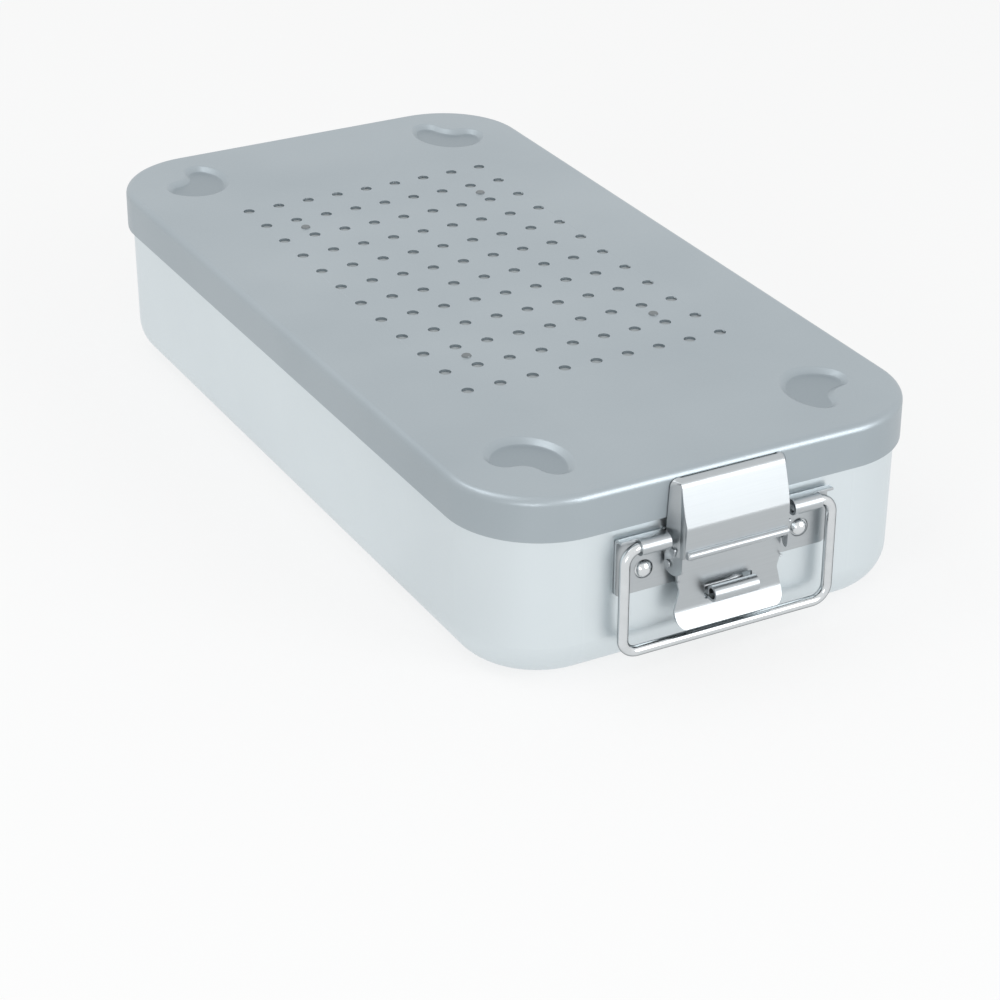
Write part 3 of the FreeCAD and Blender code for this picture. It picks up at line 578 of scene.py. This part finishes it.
# Bail: drawn wire, bent at the corners, ends turned in through the knuckles and rounded off
bailSpec = {
    "wireRadius": 3.0 * mm,
    "halfWidth": 65.4 * mm,
    "bendRadius": 9.0 * mm,
    "tipX": 40.0 * mm,
    "hinge": (-277.4 * mm, 78.5 * mm),
    "drop": 63.0 * mm,
    "sides": 28,
    "bendSteps": 14,
    "tipEase": 0.8 * mm,
    "tipEaseSteps": 3,
}


def extrudeRing(shape, ring, offset):
    made = bmesh.ops.extrude_edge_only(shape, edges=ring)["geom"]
    bmesh.ops.translate(shape, verts=[g for g in made if isinstance(g, bmesh.types.BMVert)], vec=offset)
    return [g for g in made if isinstance(g, bmesh.types.BMEdge)]


def bendRing(shape, ring, centre, axis, turn, steps):
    corners = list(dict.fromkeys(v for e in ring for v in e.verts))
    made = bmesh.ops.spin(shape, geom=corners + ring, cent=centre, axis=axis, dvec=(0, 0, 0),
                          angle=turn, steps=steps, use_merge=False, use_duplicate=False)["geom_last"]
    return [g for g in made if isinstance(g, bmesh.types.BMEdge)]


def bailWire(spec):
    y, z = spec["hinge"]
    half, bend, low = spec["halfWidth"], spec["bendRadius"], z - spec["drop"]
    shape = bmesh.new()
    bmesh.ops.create_circle(shape, cap_ends=False, radius=spec["wireRadius"], segments=spec["sides"])
    bmesh.ops.rotate(shape, verts=shape.verts, cent=(0, 0, 0), matrix=Matrix.Rotation(math.pi / 2, 3, "Y"))
    bmesh.ops.translate(shape, verts=shape.verts, vec=(-spec["tipX"], y, z))
    first = list(shape.edges)
    across = (0, 1, 0)
    quarter = math.pi / 2
    ring = extrudeRing(shape, first, (spec["tipX"] - half + bend, 0, 0))
    ring = bendRing(shape, ring, (-half + bend, y, z - bend), across, -quarter, spec["bendSteps"])
    ring = extrudeRing(shape, ring, (0, 0, -(spec["drop"] - 2 * bend)))
    ring = bendRing(shape, ring, (-half + bend, y, low + bend), across, -quarter, spec["bendSteps"])
    ring = extrudeRing(shape, ring, (2 * (half - bend), 0, 0))
    ring = bendRing(shape, ring, (half - bend, y, low + bend), across, -quarter, spec["bendSteps"])
    ring = extrudeRing(shape, ring, (0, 0, spec["drop"] - 2 * bend))
    ring = bendRing(shape, ring, (half - bend, y, z - bend), across, -quarter, spec["bendSteps"])
    ring = extrudeRing(shape, ring, (spec["tipX"] - half + bend, 0, 0))
    ends = []
    for loop in (first, ring):
        ends += bmesh.ops.contextual_create(shape, geom=loop)["faces"]
    bmesh.ops.bevel(shape, geom=[e for f in ends for e in f.edges], offset=spec["tipEase"],
                    offset_type="OFFSET", segments=spec["tipEaseSteps"], profile=0.5, affect="EDGES", material=-1)
    bmesh.ops.recalc_face_normals(shape, faces=shape.faces)
    settleOrder(shape)
    return shape


for end in ("front", "rear"):
    wire = bailWire(bailSpec)
    if end == "rear":
        turnedAbout(wire)
    finishPiece(end + "_bail_wire", wire, end + "_handle")
print("bails bent")


# Floor, lamps and background
studioSpec = {
    "floorHalf": 5.0,
    "floorTone": "#F1F2F2",
    "floorGlow": 0.72,  # share of plain white that the camera sees, the rest keeps the shadow
    "fill": 0.72,
    "lookAt": (0.0, 0.0, 0.06),
    "notMirrored": ("leftSoftbox",),  # its mirror image would burn the lid out from the rear right
    "lamps": {  # power in watts, size and place in metres
        "frontSoftbox": (15.0, 1.5, (0.95, -2.0, 0.85)),
        "leftSoftbox": (14.0, 1.1, (-2.1, -1.25, 0.8)),
        "cameraSoftbox": (5.0, 0.9, (-1.5, -2.2, 0.35)),
        "topSoftbox": (8.0, 1.6, (-1.2, 0.6, 2.3)),
    },
}


def seenDirectly(tree):  # 1 for the camera, mirrors and glass, 0 for the light that falls on the object
    path = addNode(tree, "ShaderNodeLightPath", {})
    seen = addNode(tree, "ShaderNodeMath", {"operation": "MAXIMUM"}, (0, path, "Is Camera Ray"),
                   (1, path, "Is Glossy Ray"))
    return addNode(tree, "ShaderNodeMath", {"operation": "MAXIMUM"}, (0, seen, 0), (1, path, "Is Transmission Ray"))


def makeFloor(spec):
    mesh = bpy.data.meshes.new("studioFloor")
    shape = bmesh.new()
    bmesh.ops.create_grid(shape, x_segments=1, y_segments=1, size=spec["floorHalf"])
    shape.to_mesh(mesh)
    shape.free()
    floor = bpy.data.objects.new("studioFloor", mesh)
    bpy.context.scene.collection.objects.link(floor)
    material, tree = newMaterial("paleFloor")
    matt = addNode(tree, "ShaderNodeBsdfDiffuse", {"Color": linear(spec["floorTone"])})
    glow = addNode(tree, "ShaderNodeEmission", {"Color": (1, 1, 1, 1), "Strength": 1.0})
    seen = seenDirectly(tree)
    share = addNode(tree, "ShaderNodeMath", {"operation": "MULTIPLY", 1: spec["floorGlow"]}, (0, seen, 0))
    blend = addNode(tree, "ShaderNodeMixShader", {}, (0, share, 0), (1, matt, 0), (2, glow, 0))
    closeMaterial(tree, blend)
    mesh.materials.append(material)


def makeLamp(name, spec):
    power, size, place = spec["lamps"][name]
    data = bpy.data.lights.new(name, "AREA")
    data.energy = power
    data.shape = "DISK"
    data.size = size
    lamp = bpy.data.objects.new(name, data)
    toward = Vector(spec["lookAt"]) - Vector(place)
    lamp.matrix_world = Matrix.Translation(place) @ toward.to_track_quat("-Z", "Y").to_matrix().to_4x4()
    lamp.visible_glossy = name not in spec["notMirrored"]
    bpy.context.scene.collection.objects.link(lamp)


def makeWorld(spec):
    world = bpy.data.worlds.new("studio")
    world.use_nodes = True
    tree = world.node_tree
    tree.nodes.clear()
    level = addNode(tree, "ShaderNodeMapRange", {"To Min": spec["fill"], "To Max": 1.0},
                    ("Value", seenDirectly(tree), 0))
    sky = addNode(tree, "ShaderNodeBackground", {"Color": (1, 1, 1, 1)}, ("Strength", level, 0))
    addNode(tree, "ShaderNodeOutputWorld", {}, ("Surface", sky, 0))
    bpy.context.scene.world = world


makeFloor(studioSpec)
for name in studioSpec["lamps"]:
    makeLamp(name, studioSpec)
makeWorld(studioSpec)
print("studio made")
